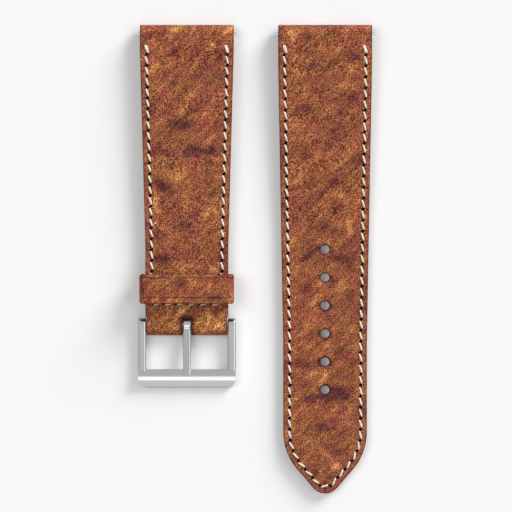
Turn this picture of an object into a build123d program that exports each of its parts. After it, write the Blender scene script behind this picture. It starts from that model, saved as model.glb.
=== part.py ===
# Two-piece leather watch strap, laid flat on its lining with the two halves side by side.
# The short half carries a pin buckle and a fixed keeper, the long half has the adjusting holes.
# X runs across the strap, Y along it towards the watch, Z up from the surface that it lies on.
# The origin is under the middle of the whole part. All sizes are in millimetres.
import math
import os

from build123d import *

# Whole strap
lug_width = 24.0  # across the leather where it meets the watch
long_length = 120.0  # long half, from the lug end to the tip
short_length = 79.5  # short half, from the lug end to the front of the buckle fold
halves_apart = 35.4  # centre line to centre line, as the halves lie
overrun = 1.0  # how far every cutting tool runs past what it cuts

# Leather layers
face_thickness = 1.15
lining_thickness = 1.15
fold_thickness = 0.95  # face leather thinned where it folds round the buckle bar
tape_thickness = 0.15  # woven tape that strengthens the lug loop
tape_length = 8.5  # from the lug end
return_length = 9.5  # underside of the lug loop, from the lug end to the lining
fold_return_length = 9.5  # underside of the buckle fold, from its front to the lining
skive_length = 3.0  # over which the face thins before the buckle fold
layer_gap = 0.2  # left behind each bar before the padding starts

# Outline of the short half
short_taper_start = 6.0
short_taper_end = 57.0
short_width = 21.2  # past the taper
fold_width = 20.6  # between the arms of the buckle
fold_notch = 0.3  # gap between the wide leather and the ears of the buckle

# Outline of the long half
long_taper_start = 10.0
long_taper_end = 82.0
tail_width = 21.4
shoulder_radius = 14.5
point_angle = 41.0  # of the straight flank of the tip, off the centre line
nose_radius = 4.0
padding_end = 51.0  # where the padding of the long half runs out
padding_flat = 50.0  # where the padding of the short half stops thinning

# Adjusting holes
hole_count = 6
hole_radius = 1.1
first_hole = 57.5  # from the lug end
hole_pitch = 7.2

# Seams
seam_inset = 1.6
seam_start = 4.9  # from the lug end
cross_seam = 71.45  # from the lug end, seam that closes the buckle fold
stitch_pitch = 2.81
cross_stitch_pitch = 3.07
stitch_gap = 0.6  # along the seam, between the end of one stitch and the start of the next
stitch_slant = 0.36  # how far each end of a stitch lies off the seam line
thread_radius = 0.225
thread_bend = 0.28  # centre line radius where the thread turns into the leather
thread_lift = 0.02  # under the stitches, above the face
needle_clearance = 0.05  # round the thread in its needle holes
groove_clearance = 0.2  # each side of the stitches, in the channel under the strap
groove_headroom = 0.03

# Keeper
keeper_start = 63.8  # from the lug end
keeper_length = 7.6
keeper_thickness = 1.3
keeper_side_gap = 0.2
keeper_headroom = 0.3  # above a tail lying on the strap
keeper_tab_thickness = 1.1
keeper_tab_reach = 5.0  # how far each end runs in under the face
keeper_tab_width = 6.6
keeper_corner_radius = 1.6
keeper_inner_radius = 0.4
keeper_plan_radius = 0.6

# Spring bars: the tube, the coil spring in it, and a sprung pin at each end
lug_tube_radius = 0.9
lug_tube_bore = 0.6
buckle_tube_radius = 0.75
buckle_tube_bore = 0.55
lug_bar_clearance = 0.08
buckle_bar_clearance = 0.05
pin_tip_radius = 0.4
lug_tip_length = 0.9
buckle_tip_length = 1.1
pin_flange_length = 0.55
pin_flange_inset = 0.12  # flange radius under the tube radius
pin_neck_radius = 0.36
pin_head_length = 1.2
pin_slack = 0.02
head_clearance = 0.03
neck_clearance = 0.04
crimp_length = 0.4
travel_spare = 0.1  # left between flange and tube with the pin pressed in
wire_radius = 0.08
coil_clearance = 0.05
coil_pitch = 0.9

# Buckle frame
bar_to_front = 16.1  # bar axis to the front of the frame
front_bar_depth = 4.55
front_bar_height = 2.7
arm_width = 2.05
arm_gap = 0.15  # between an arm and the leather fold
ear_radius = 1.6
arm_foot = 0.15  # underside of the arms above the surface
arm_front_height = 2.45
frame_corner_radius = 2.1
arm_rounding = 0.5
ear_hole_clearance = 0.06
ear_hole_spare = 0.15  # bottom of the blind hole past the tip of the pin
bevel_depth = 1.05  # inner bevel of the front bar, seen from above
bevel_height = 0.45
crest_depth = 0.3  # flat on top of the front bar
front_lip_height = 1.3
front_lip_edge = 0.7
front_foot_round = 0.8

# Tongue
tongue_width = 2.0
tongue_reach = 13.4  # bar axis to the tip
tongue_loop_radius = 1.7
tongue_bore_clearance = 0.05
tongue_root_top = 1.3  # top of the shank above the bar axis
tongue_root_foot = 0.15  # underside of the shank under the bar axis
tongue_thickness = 1.15  # at the tip
tongue_rest_gap = 0.06  # above the crest of the front bar
tongue_bend = 10.8  # from the bar axis, where the shank levels out
tongue_rounding = 0.35
tongue_blend = 1.0  # where the shank leaves the loop
tongue_bend_radius = 8.0
slot_side_gap = 0.12
slot_back_gap = 0.15  # behind the loop of the tongue
slot_corner_radius = 0.25
bar_to_fold_front = 2.8  # bar axis to the front of the leather fold

# Places that follow from the sizes above
lug_end = long_length / 2
short_x = -halves_apart / 2
long_x = halves_apart / 2
lug_core_radius = lug_tube_radius + lug_bar_clearance + tape_thickness
lug_radius = lug_core_radius + face_thickness
fold_core_radius = buckle_tube_radius + buckle_bar_clearance
fold_radius = fold_core_radius + fold_thickness
buckle_end_thickness = 2 * fold_radius
tail_thickness = face_thickness + lining_thickness
fold_centre = short_length - fold_radius
bar_axis = short_length - bar_to_fold_front
fold_return_start = short_length - fold_return_length
frame_half_gap = fold_width / 2 + arm_gap
frame_half_width = frame_half_gap + arm_width
slot_back = bar_axis - tongue_loop_radius - slot_back_gap
notch_start = bar_axis - ear_radius - fold_notch


def along(s):
    """Y of a place that lies s from the lug end."""
    return lug_end - s


def side_plane(x):
    return Plane.YZ.offset(x)


def profile(points):
    """Face on the lengthwise plane, from points (distance from the lug end, height)."""
    return make_face(Polyline([(along(s), z) for s, z in points], close=True).edges())


def disc(s, z, radius):
    return Pos(along(s), z) * Circle(radius)


def across(face, x, half_width):
    """Runs a lengthwise face across the strap, half_width each side of x."""
    return extrude(side_plane(x) * face, amount=half_width, both=True)


def upright(sketch, x, low, high):
    """Runs an outline seen from above up from low to high."""
    return extrude(Pos(x, 0, low) * sketch, amount=high - low)


def height_between(s, s_low, z_low, s_high, z_high):
    share = min(max((s - s_low) / (s_high - s_low), 0), 1)
    return z_low + (z_high - z_low) * share


def short_top(s):
    """Height of the face of the short half."""
    return height_between(s, lug_radius, 2 * lug_radius, padding_flat, buckle_end_thickness)


def long_top(s):
    """Height of the face of the long half."""
    return height_between(s, lug_radius, 2 * lug_radius, padding_end, tail_thickness)


# Outlines seen from above, drawn about the centre line of each half
def short_plan(inset, start, end, with_notch=False):
    lug_half = lug_width / 2 - inset
    half = short_width / 2 - inset
    side = [(lug_half, start), (lug_half, short_taper_start), (half, short_taper_end)]
    if with_notch:
        fold_half = fold_width / 2
        side += [(half, notch_start), (fold_half, notch_start)]
        half = fold_half
    side.append((half, end))
    right = [(x, along(s)) for x, s in side]
    return Polyline(right + [(-x, y) for x, y in reversed(right)])


def long_plan(inset, start):
    lug_half = lug_width / 2 - inset
    half = tail_width / 2 - inset
    shoulder = shoulder_radius - inset
    nose = nose_radius - inset
    angle = math.radians(point_angle)
    flank_top = half - shoulder * (1 - math.cos(angle))
    flank = (flank_top - nose * math.cos(angle)) / math.sin(angle)
    point = shoulder * math.sin(angle) + flank * math.cos(angle) + nose * (1 - math.sin(angle))
    tip_start = along(long_length - inset - point)
    sides = Polyline((lug_half, along(start)), (lug_half, along(long_taper_start)),
                     (half, along(long_taper_end)), (half, tip_start))
    curve = JernArc(sides @ 1, (0, -1), shoulder, -point_angle)
    line = PolarLine(curve @ 1, flank, direction=curve % 1)
    tip = JernArc(line @ 1, line % 1, nose, point_angle - 90)
    right = Wire(sides.edges() + curve.edges() + line.edges() + tip.edges())
    return Wire(list(right.edges()) + list(right.mirror(Plane.YZ).edges()))


def filled(line):
    """Face bounded by an open outline and the straight line that closes it."""
    return make_face(line.edges() + [Line(line @ 1, line @ 0)])


def seam_channel(wide, narrow, x):
    """Channel under the strap in which the lower stitches lie."""
    depth = 2 * thread_radius + groove_headroom
    return upright(filled(wide) - filled(narrow), x, -overrun, depth)


# Sewing thread: two strands that swap sides at every stitch, as in saddle stitch
def stitch_ends(seam):
    """Places where each stitch starts and ends. The seam is a list of (wire, pitch)."""
    starts = []
    ends = []
    for wire, pitch in seam:
        count = round(wire.length / pitch)
        for i in range(count):
            for share, sign, places in ((i / count, 1, starts), ((i + 1) / count, -1, ends)):
                way = wire % share
                normal = Vector(-way.Y, way.X)
                places.append(wire @ share + way * (sign * stitch_gap / 2) - normal * (sign * stitch_slant))
    return starts, ends


def strands(seam, x, top_of):
    starts, ends = stitch_ends(seam)
    count = len(starts)
    low = thread_radius + groove_headroom
    plunge = Vector(0, 0, tail_thickness / 2)

    def over(place):
        return Vector(place.X, place.Y, top_of(lug_end - place.Y) + thread_radius + thread_lift)

    def under(place):
        return Vector(place.X, place.Y, low)

    made = []
    for first in (0, 1):
        points = [over(starts[0]) - plunge]
        if first:
            points = [under(starts[0]) + plunge, under(starts[0]), under(starts[1])]
        for i in range(first, count, 2):
            points += [over(starts[i]), over(ends[i])]
            if i + 2 < count:
                points += [under(ends[i]), under(starts[i + 2])]
            elif i + 1 < count:
                points += [under(ends[i]), under(ends[count - 1]), under(ends[count - 1]) + plunge]
            else:
                points.append(over(ends[i]) - plunge)
        path = FilletPolyline(points, radius=thread_bend)
        strand = sweep(Plane(path @ 0, z_dir=path % 0) * Circle(thread_radius), path=path)
        made += [Pos(x, 0, 0) * solid for solid in strand.solids()]
    return Compound(made)


def needle_holes(seam, x):
    starts, ends = stitch_ends(seam)
    holes = [Pos(place) * Circle(thread_radius + needle_clearance) for place in starts + ends]
    return upright(Sketch() + holes, x, -overrun, 2 * lug_radius + overrun)


def short_seam():
    corners = short_plan(seam_inset, seam_start, cross_seam).edges()
    middle = len(corners) // 2
    right, cross, left = corners[:middle], corners[middle:middle + 1], corners[middle + 1:]
    return [(Wire(right), stitch_pitch), (Wire(cross), cross_stitch_pitch), (Wire(left), stitch_pitch)]


def long_seam():
    return [(long_plan(seam_inset, seam_start), stitch_pitch)]


# Leather of the short half
def short_leather():
    outline = disc(lug_radius, lug_radius, lug_radius) + disc(fold_centre, fold_radius, fold_radius)
    outline += profile([(lug_radius, 0), (lug_radius, 2 * lug_radius), (padding_flat, buckle_end_thickness),
                        (fold_centre, buckle_end_thickness), (fold_centre, 0)])
    under_face = buckle_end_thickness - face_thickness
    core = disc(lug_radius, lug_radius, lug_core_radius) + disc(fold_centre, fold_radius, fold_core_radius)
    core += profile([
        (lug_radius, lug_radius + lug_core_radius),
        (padding_flat, under_face),
        (fold_return_start, under_face),
        (fold_return_start + skive_length, buckle_end_thickness - fold_thickness),
        (fold_centre, buckle_end_thickness - fold_thickness),
        (fold_centre, fold_thickness),
        (fold_return_start + skive_length, fold_thickness),
        (fold_return_start, lining_thickness),
        (return_length, lining_thickness),
        (lug_radius, lug_radius - lug_core_radius),
    ])
    lining = profile([(return_length, 0), (return_length, lining_thickness),
                      (fold_return_start, lining_thickness), (fold_return_start, 0)])
    plan = filled(short_plan(0, 0, short_length, with_notch=True))
    solid_plan = upright(plan, short_x, -overrun, 2 * lug_radius + overrun)
    slot_half = tongue_width / 2 + slot_side_gap
    slot_length = short_length + overrun - slot_back
    slot_face = Pos(0, along(slot_back + slot_length / 2)) * Rectangle(2 * slot_half, slot_length)
    slot_face = fillet(slot_face.vertices().group_by(Axis.Y)[-1], radius=slot_corner_radius)
    slot = upright(slot_face, short_x, -overrun, 2 * lug_radius + overrun)
    groove_half = thread_radius + stitch_slant + groove_clearance
    channel = seam_channel(
        short_plan(seam_inset - groove_half, seam_start - groove_half, cross_seam + groove_half),
        short_plan(seam_inset + groove_half, seam_start - groove_half, cross_seam - groove_half), short_x)

    def cut_out(face):
        return (across(face, short_x, lug_width / 2 + overrun) & solid_plan) - slot - channel

    tape, padding = core_layers(core)
    padding -= profile([(bar_axis - fold_core_radius - layer_gap, -overrun),
                        (bar_axis - fold_core_radius - layer_gap, 2 * lug_radius),
                        (short_length, 2 * lug_radius), (short_length, -overrun)])
    padding_solid = cut_out(padding)
    pocket = Box(short_width + overrun, keeper_tab_width, buckle_end_thickness)
    pocket -= Box(short_width - 2 * keeper_tab_reach - 2 * layer_gap, keeper_tab_width, buckle_end_thickness)
    pocket_centre = (short_x, along(keeper_start + keeper_length / 2), buckle_end_thickness / 2)
    return {
        "face_leather_short": cut_out(outline - core - lining),
        "lining_short": cut_out(lining),
        "padding_short": padding_solid - Pos(*pocket_centre) * pocket,
        "lug_tape_short": cut_out(tape),
    }


def core_layers(core):
    """The tape that lines the lug loop, and the padding behind the spring bar."""
    inner = offset(core, amount=-tape_thickness)
    reach = profile([(0, -overrun), (0, 2 * lug_radius), (tape_length, 2 * lug_radius), (tape_length, -overrun)])
    tape = (core & reach) - inner
    bar_room = profile([
        (0, -overrun), (0, 2 * lug_radius),
        (lug_radius + lug_core_radius + layer_gap, 2 * lug_radius),
        (lug_radius + lug_core_radius + layer_gap, -overrun)])
    return tape, core - tape - bar_room


# Leather of the long half
def long_leather():
    outline = disc(lug_radius, lug_radius, lug_radius)
    outline += profile([(lug_radius, 0), (lug_radius, 2 * lug_radius), (padding_end, tail_thickness),
                        (long_length, tail_thickness), (long_length, 0)])
    core = disc(lug_radius, lug_radius, lug_core_radius)
    core += profile([(lug_radius, lug_radius + lug_core_radius), (padding_end, lining_thickness),
                     (return_length, lining_thickness), (lug_radius, lug_radius - lug_core_radius)])
    lining = profile([(return_length, 0), (return_length, lining_thickness),
                      (long_length, lining_thickness), (long_length, 0)])
    solid_plan = upright(filled(long_plan(0, 0)), long_x, -overrun, 2 * lug_radius + overrun)
    groove_half = thread_radius + stitch_slant + groove_clearance
    channel = seam_channel(long_plan(seam_inset - groove_half, seam_start - groove_half),
                           long_plan(seam_inset + groove_half, seam_start - groove_half), long_x)
    holes = [Pos(0, along(first_hole + i * hole_pitch)) * Circle(hole_radius) for i in range(hole_count)]
    punches = upright(Sketch() + holes, long_x, -overrun, tail_thickness + overrun)

    def cut_out(face):
        return (across(face, long_x, lug_width / 2 + overrun) & solid_plan) - channel

    tape, padding = core_layers(core)
    return {
        "face_leather_long": cut_out(outline - core - lining) - punches,
        "lining_long": cut_out(lining) - punches,
        "padding_long": cut_out(padding),
        "lug_tape_long": cut_out(tape),
    }


# Fixed keeper: a band over the strap whose two ends are sewn in between lining and face
def keeper():
    inner_half = short_width / 2 + keeper_side_gap
    outer_half = inner_half + keeper_thickness
    roof = buckle_end_thickness + tail_thickness + keeper_headroom
    top = roof + keeper_thickness
    foot = lining_thickness
    loop = Pos(0, (foot + top) / 2) * RectangleRounded(2 * outer_half, top - foot, keeper_corner_radius)
    room = Pos(0, (foot + roof) / 2) * RectangleRounded(2 * inner_half, roof - foot, keeper_inner_radius)
    band = extrude(Plane.XZ * (loop - room), amount=keeper_length / 2, both=True)
    band &= extrude(RectangleRounded(2 * outer_half, keeper_length, keeper_plan_radius), amount=top + overrun)
    band -= extrude(Rectangle(2 * inner_half, keeper_length), amount=foot + keeper_tab_thickness)
    tab_centre = foot + keeper_tab_thickness / 2
    for side in (-1, 1):
        reach = inner_half + keeper_thickness / 2 - short_width / 2 + keeper_tab_reach
        tab = Box(reach, keeper_tab_width, keeper_tab_thickness)
        band += Pos(side * (inner_half + keeper_thickness / 2 - reach / 2), 0, tab_centre) * tab
    return Pos(short_x, along(keeper_start + keeper_length / 2), 0) * band


# Spring bars
def turned(points):
    """Solid turned about the X axis, from points (place along the axis, radius)."""
    return revolve(make_face(Polyline(points, close=True).edges()), axis=Axis.X)


def spring_bar(half_span, tube_radius, bore, tip_length):
    """Tube, spring and the two pins, about the origin. half_span is from the middle to the outer flange face."""
    travel = tip_length + travel_spare
    flange_inner = half_span - pin_flange_length
    tube_end = flange_inner - travel
    neck_hole = pin_neck_radius + neck_clearance
    crimp = tube_end - crimp_length
    tube = turned([(-tube_end, neck_hole), (-crimp, neck_hole), (-crimp, bore), (crimp, bore), (crimp, neck_hole),
                   (tube_end, neck_hole), (tube_end, tube_radius), (-tube_end, tube_radius)])
    head_end = crimp - pin_slack
    head_start = head_end - pin_head_length
    head = bore - head_clearance
    pin = turned([
        (head_start, 0), (head_start, head), (head_end, head), (head_end, pin_neck_radius),
        (flange_inner, pin_neck_radius), (flange_inner, tube_radius - pin_flange_inset),
        (half_span, tube_radius - pin_flange_inset), (half_span, pin_tip_radius),
        (half_span + tip_length, pin_tip_radius), (half_span + tip_length, 0),
    ])
    coil_radius = bore - coil_clearance - wire_radius
    coil_half = head_start - pin_slack - wire_radius
    turns = round(2 * coil_half / coil_pitch)
    helix = Helix(pitch=2 * coil_half / turns, height=2 * coil_half, radius=coil_radius,
                  center=(-coil_half, 0, 0), direction=(1, 0, 0))
    spring = sweep(Plane(helix @ 0, z_dir=helix % 0) * Circle(wire_radius), path=helix, is_frenet=True)
    return {"tube": tube, "spring": spring, "pin_right": pin, "pin_left": mirror(pin, about=Plane.YZ)}


# Buckle frame, drawn with distances ahead of the bar axis
def ahead(points):
    return profile([(bar_axis + u, z) for u, z in points])


def buckle_frame():
    inner = bar_to_front - front_bar_depth
    crest_start = inner + bevel_depth
    crest_end = crest_start + crest_depth
    bevel_foot = front_bar_height - bevel_height
    shoulder_depth = bar_to_front - crest_end
    shoulder_drop = front_bar_height - front_lip_height
    shoulder_round = (shoulder_depth ** 2 + shoulder_drop ** 2) / (2 * shoulder_drop)
    section = ahead([
        (inner, arm_foot), (inner, bevel_foot), (crest_start, front_bar_height), (crest_end, front_bar_height),
        (bar_to_front, front_bar_height), (bar_to_front, front_lip_edge),
        (bar_to_front - front_foot_round, 0), (inner + arm_foot, 0)])
    section -= ahead([
        (crest_end, front_bar_height), (crest_end, front_bar_height + overrun),
        (bar_to_front + overrun, front_bar_height + overrun), (bar_to_front + overrun, front_lip_height),
        (bar_to_front, front_lip_height)])
    rounding = disc(bar_axis + crest_end, front_bar_height - shoulder_round, shoulder_round)
    section += rounding & ahead([
        (crest_end, front_bar_height), (bar_to_front, front_bar_height),
        (bar_to_front, front_lip_height)])
    front_plan = Pos(0, along(bar_axis + inner + front_bar_depth / 2)) * Rectangle(2 * frame_half_width, front_bar_depth)
    front_corners = front_plan.vertices().group_by(Axis.Y)[0]
    front_plan = fillet(front_corners, radius=frame_corner_radius)
    front = across(section, short_x, frame_half_width)
    front &= upright(front_plan, short_x, -overrun, front_bar_height + overrun)
    arm_face = disc(bar_axis, fold_radius, ear_radius)
    arm_face += ahead([(0, fold_radius + ear_radius), (inner, arm_front_height), (crest_end, arm_front_height),
                       (crest_end, arm_foot), (0, fold_radius - ear_radius)])
    made = front
    hole_depth = arm_gap + buckle_tip_length + ear_hole_spare
    for side in (-1, 1):
        arm = across(arm_face, short_x + side * (frame_half_gap + arm_width / 2), arm_width / 2)
        arm = fillet(arm.edges(), radius=arm_rounding)
        made += arm
        tool = Cylinder(pin_tip_radius + ear_hole_clearance, hole_depth, rotation=(0, 90, 0))
        made -= Pos(short_x + side * (frame_half_gap - arm_gap + hole_depth / 2), along(bar_axis), fold_radius) * tool
    return made


def tongue():
    foot = front_bar_height + tongue_rest_gap
    top = foot + tongue_thickness
    shank = ahead([
        (0, fold_radius + tongue_root_top), (tongue_bend, top), (tongue_reach, top), (tongue_reach, foot),
        (tongue_bend, foot), (0, fold_radius - tongue_root_foot)])
    face = disc(bar_axis, fold_radius, tongue_loop_radius) + shank
    root_place = (along(bar_axis + tongue_root_top), fold_radius + tongue_root_top)
    bend_place = (along(bar_axis + tongue_bend), top)
    for place, radius in ((root_place, tongue_blend), (bend_place, tongue_bend_radius)):
        face = fillet(face.vertices().sort_by_distance(place)[0], radius=radius)
    body = across(face, short_x, tongue_width / 2)
    shank_edges = ShapeList([edge for edge in body.edges() if edge.length > tongue_bend / 2])
    body = fillet(shank_edges.sort_by(Axis.Z)[-2:], radius=tongue_rounding)
    bore = disc(bar_axis, fold_radius, buckle_tube_radius + tongue_bore_clearance)
    body -= across(bore, short_x, tongue_width / 2 + overrun)
    tip_centre = tongue_reach - tongue_width / 2
    length = tip_centre + tongue_loop_radius + overrun
    plan = Pos(0, along(bar_axis + tip_centre - length / 2)) * Rectangle(tongue_width, length)
    plan += Pos(0, along(bar_axis + tip_centre)) * Circle(tongue_width / 2)
    return body & upright(plan, short_x, -overrun, top + overrun)


def all_nodes():
    nodes = {}
    nodes.update(short_leather())
    nodes.update(long_leather())
    nodes["keeper_band"] = keeper()
    short_holes = needle_holes(short_seam(), short_x)
    long_holes = needle_holes(long_seam(), long_x)
    for name in ("face_leather_short", "lining_short", "padding_short", "lug_tape_short", "keeper_band"):
        nodes[name] -= short_holes
    for name in ("face_leather_long", "lining_long", "padding_long", "lug_tape_long"):
        nodes[name] -= long_holes
    nodes["seam_thread_short"] = strands(short_seam(), short_x, short_top)
    nodes["seam_thread_long"] = strands(long_seam(), long_x, long_top)
    lug_bar = spring_bar(lug_width / 2, lug_tube_radius, lug_tube_bore, lug_tip_length)
    for half, x in (("short", short_x), ("long", long_x)):
        for name, piece in lug_bar.items():
            nodes[f"lug_bar_{name}_{half}"] = Pos(x, along(lug_radius), lug_radius) * piece
    buckle_bar = spring_bar(fold_width / 2, buckle_tube_radius, buckle_tube_bore, buckle_tip_length)
    for name, piece in buckle_bar.items():
        nodes[f"buckle_bar_{name}"] = Pos(short_x, along(bar_axis), fold_radius) * piece
    nodes["buckle_frame"] = buckle_frame()
    nodes["buckle_tongue"] = tongue()
    return nodes


os.makedirs("parts", exist_ok=True)
for name, shape in all_nodes().items():
    export_step(shape, f"parts/{name}.step")
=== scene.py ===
import math

import bmesh
import bpy
from mathutils import Matrix, Vector, kdtree


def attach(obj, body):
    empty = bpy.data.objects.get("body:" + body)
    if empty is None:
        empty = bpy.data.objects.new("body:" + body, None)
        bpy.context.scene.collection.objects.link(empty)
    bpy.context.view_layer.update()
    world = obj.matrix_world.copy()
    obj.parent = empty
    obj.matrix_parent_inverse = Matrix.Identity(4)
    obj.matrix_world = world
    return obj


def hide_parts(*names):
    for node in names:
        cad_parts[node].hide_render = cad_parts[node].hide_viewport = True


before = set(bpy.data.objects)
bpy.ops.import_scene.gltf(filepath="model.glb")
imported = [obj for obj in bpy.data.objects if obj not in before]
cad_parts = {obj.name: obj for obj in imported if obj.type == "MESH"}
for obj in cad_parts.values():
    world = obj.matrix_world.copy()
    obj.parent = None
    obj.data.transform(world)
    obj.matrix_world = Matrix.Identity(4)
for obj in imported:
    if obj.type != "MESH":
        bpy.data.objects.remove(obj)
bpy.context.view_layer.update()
print("frame loaded:", len(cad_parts), "nodes")

mm = 0.001  # the strap is drawn in millimetres and each mesh scaled once, the studio is in metres

# s is the distance from the lug end, along either half
strap = {
    "lugEnd": 60.0,  # Y where both halves meet the watch
    "lugHalf": 12.0, "lugRadius": 2.28, "face": 1.15, "lining": 1.15, "tape": 0.15, "tapeEnd": 8.5,
    "returnEnd": 9.5, "joinGap": 0.02, "rimRadius": 0.2, "seamInset": 1.6, "seamStart": 4.9,
    "stitchPitch": 2.81, "crossPitch": 3.07, "stitchGap": 0.6, "stitchSlant": 0.36,
}
shortHalf = {
    "name": "short", "body": "buckle_half", "centre": -17.7, "length": 79.5, "half": 10.6, "flat": 50.0,
    "taperStart": 6.0, "taperEnd": 57.0, "notch": 74.8, "notchGap": 0.01, "foldHalf": 10.3,
    "foldRadius": 1.75, "foldLeather": 0.95, "foldReturn": 70.0, "skive": 3.0, "bar": 76.7,
    "crossSeam": 71.45, "slotBack": 74.85, "slotHalf": 1.12, "slotCorner": 0.25,
    "creaseInset": 0.8, "creaseStart": 62.0,
}
longHalf = {
    "name": "long", "body": "tail_half", "centre": 17.7, "length": 120.0, "half": 10.7, "flat": 51.0,
    "taperStart": 10.0, "taperEnd": 82.0, "shoulder": 14.5, "angle": 41.0, "nose": 4.0, "thickness": 2.3,
    "holes": 6, "firstHole": 57.5, "holePitch": 7.2, "holeRadius": 1.1,
}
# how far apart rows of points lie, along the leather and round its bends
steps = {
    "row": 0.8, "fold": 0.6, "keeper": 0.5, "bend": math.radians(9), "shoulder": math.radians(3),
    "nose": math.radians(3.5), "keeperBend": math.radians(10), "slotCorner": math.radians(18),
}


def ramp(value, low, high, atLow, atHigh):
    share = min(max((value - low) / (high - low), 0.0), 1.0)
    return atLow + (atHigh - atLow) * share


def spaced(low, high, step):
    count = max(1, round(abs(high - low) / step))
    return [low + (high - low) * i / count for i in range(count + 1)]


def topHeight(half, s):
    thin = longHalf["thickness"] if half is longHalf else 2 * shortHalf["foldRadius"]
    return ramp(s, strap["lugRadius"], half["flat"], 2 * strap["lugRadius"], thin)


def halfWidth(half, s):
    if half is shortHalf and s > shortHalf["notch"]:
        return shortHalf["foldHalf"]
    return ramp(s, half["taperStart"], half["taperEnd"], strap["lugHalf"], half["half"])


# rows of the outline: (half width, s, inward normal across, inward normal along)
def planRow(half, s):
    return halfWidth(half, s), s, 1.0, 0.0


# the same rows for the long half's rounded point, from its shoulder to its nose
def tipRows():
    half, shoulder, nose = longHalf["half"], longHalf["shoulder"], longHalf["nose"]
    angle = math.radians(longHalf["angle"])
    flankTop = half - shoulder * (1 - math.cos(angle))
    flank = (flankTop - nose * math.cos(angle)) / math.sin(angle)
    point = shoulder * math.sin(angle) + flank * math.cos(angle) + nose * (1 - math.sin(angle))
    start = longHalf["length"] - point
    rows = []
    for turn in spaced(0, angle, steps["shoulder"]):
        rows.append((half - shoulder * (1 - math.cos(turn)), start + shoulder * math.sin(turn),
                     math.cos(turn), math.sin(turn)))
    across, along = rows[-1][:2]
    for step in spaced(0, flank, steps["row"])[1:]:
        rows.append((across - step * math.sin(angle), along + step * math.cos(angle),
                     math.cos(angle), math.sin(angle)))
    for turn in spaced(angle, math.pi / 2, steps["nose"])[1:]:
        rows.append((nose * math.cos(turn), longHalf["length"] - nose + nose * math.sin(turn),
                     math.cos(turn), math.sin(turn)))
    return start, rows


tipStart, tipTable = tipRows()
weldGap = 0.0005  # millimetres


# turns a bmesh that is drawn in millimetres into an object in metres
def finishMesh(mesh, name, *materials, sharp=35):
    bmesh.ops.remove_doubles(mesh, verts=mesh.verts[:], dist=weldGap)
    bmesh.ops.recalc_face_normals(mesh, faces=mesh.faces[:])
    bmesh.ops.scale(mesh, vec=(mm, mm, mm), verts=mesh.verts[:])
    data = bpy.data.meshes.new(name)
    mesh.to_mesh(data)
    mesh.free()
    data.shade_smooth()
    data.set_sharp_from_angle(angle=math.radians(sharp))
    piece = bpy.data.objects.new(name, data)
    bpy.context.scene.collection.objects.link(piece)
    for material in materials:
        data.materials.append(material)
    return piece


# a sheet with thickness: place(row, col, depth) gives its points, depth 0 outside and 1 inside
def shapedSheet(rows, cols, place, wallSlot=0):
    mesh = bmesh.new()
    bmesh.ops.create_grid(mesh, x_segments=cols, y_segments=rows, size=1)
    rowLayer = mesh.verts.layers.int.new("row")
    colLayer = mesh.verts.layers.int.new("col")
    for vert in mesh.verts:
        vert[rowLayer] = round((vert.co.y + 1) / 2 * rows)
        vert[colLayer] = round((vert.co.x + 1) / 2 * cols)
    outer = mesh.faces[:]
    made = bmesh.ops.extrude_face_region(mesh, geom=outer)
    inner = {item for item in made["geom"] if isinstance(item, bmesh.types.BMVert)}
    caps = set(outer) | {item for item in made["geom"] if isinstance(item, bmesh.types.BMFace)}
    for vert in mesh.verts:
        vert.co = place(vert[rowLayer], vert[colLayer], 1 if vert in inner else 0)
    for face in mesh.faces:
        if face not in caps:
            face.material_index = wallSlot
    return mesh


def cutAway(piece, cutters):
    for cutter in cutters:
        cut = piece.modifiers.new("cut", "BOOLEAN")
        cut.operation = "DIFFERENCE"
        cut.solver = "EXACT"
        cut.object = cutter
    ready = piece.evaluated_get(bpy.context.evaluated_depsgraph_get())
    data = bpy.data.meshes.new_from_object(ready)
    piece.modifiers.clear()
    piece.data = data
    for cutter in cutters:
        bpy.data.objects.remove(cutter)


# grooves along the seams of the face, creases round the fold and channels on the underside. Their widths
# are taken from the middle to one side
grooves = {
    "seamWidth": 0.42, "seamDepth": 0.11, "seamRun": 0.6, "creaseWidth": 0.13, "creaseDepth": 0.09,
    "channelWidth": 0.78, "channelDepth": 0.42, "channelWall": 0.15, "channelRun": 0.8, "channelPast": 0.9,
}
# insets of the lines of points along each edge, closer where the leather dips
edgeInsets = [0, 0.03, 0.1, 0.22, 0.45, 0.68, 0.8, 0.92, 1.15, 1.38, 1.6, 1.82, 2.05, 2.35, 2.7]
liningInsets = [0, 0.03, 0.1, 0.22, 0.5, 0.82, 0.97, 1.3, 1.6, 1.9, 2.23, 2.38, 2.7]
middleCols = 14  # columns of faces between the innermost insets


def rimDip(inset, radius):
    return radius - math.sqrt(max(radius * radius - max(radius - inset, 0) ** 2, 0))


def faceDip(inset, s, half):
    dip = rimDip(inset, strap["rimRadius"])
    if s > strap["seamStart"] - grooves["seamRun"] and (half is longHalf or s < shortHalf["crossSeam"]):
        share = abs(inset - strap["seamInset"]) / grooves["seamWidth"]
        dip += grooves["seamDepth"] * max(0, 1 - share ** 2)
    if half is shortHalf and s > shortHalf["creaseStart"]:
        share = abs(inset - shortHalf["creaseInset"]) / grooves["creaseWidth"]
        dip += grooves["creaseDepth"] * max(0, 1 - share)
    return dip


def underDip(inset, s, half):
    dip = rimDip(inset, strap["rimRadius"])
    end = longHalf["length"] if half is longHalf else shortHalf["crossSeam"] + grooves["channelPast"]
    if strap["seamStart"] - grooves["channelRun"] < s < end:
        share = (grooves["channelWidth"] - abs(inset - strap["seamInset"])) / grooves["channelWall"]
        dip += grooves["channelDepth"] * min(1, max(0, share))
    return dip


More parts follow.
